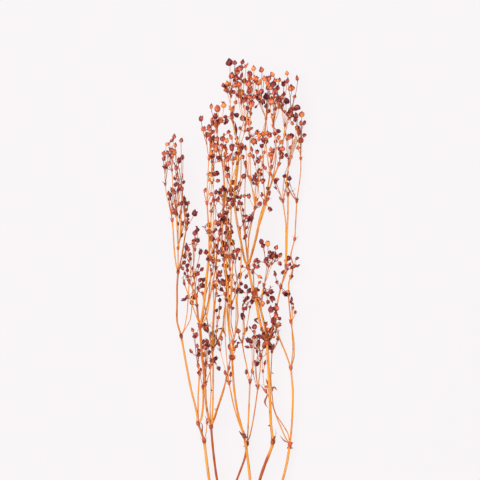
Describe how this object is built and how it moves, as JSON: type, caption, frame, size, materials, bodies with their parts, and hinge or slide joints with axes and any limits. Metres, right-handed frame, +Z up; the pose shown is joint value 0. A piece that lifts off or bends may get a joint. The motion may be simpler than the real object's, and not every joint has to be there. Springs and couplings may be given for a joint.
{
  "type": "dried gypsophila stem",
  "caption": "Cut, dried gypsophila stem that parts at swollen joints into six sprays of thin branching stalks with small seed heads; lies on its side for vases and dried bouquets",
  "frame": {"origin": "middle of the stem's bounding box in plan, on the surface it lies on", "axes": "+Y along the stem from the cut end to the tips, +X across the spread of its branches, +Z up from the surface"},
  "size_m": [0.1449, 0.5467, 0.0824],
  "materials": {
    "dry_stalk": "dry, glossy amber stalk skin with darker red-brown stretches",
    "dry_heads": "dry, papery red-brown seed heads with lighter orange middles"
  },
  "bodies": {
    "root": {"main_stem": "dry_stalk", "spray_a": "dry_heads", "spray_b": "dry_heads", "spray_c": "dry_heads", "spray_d": "dry_heads", "spray_e": "dry_heads", "spray_f": "dry_heads"}
  },
  "joints": []
}
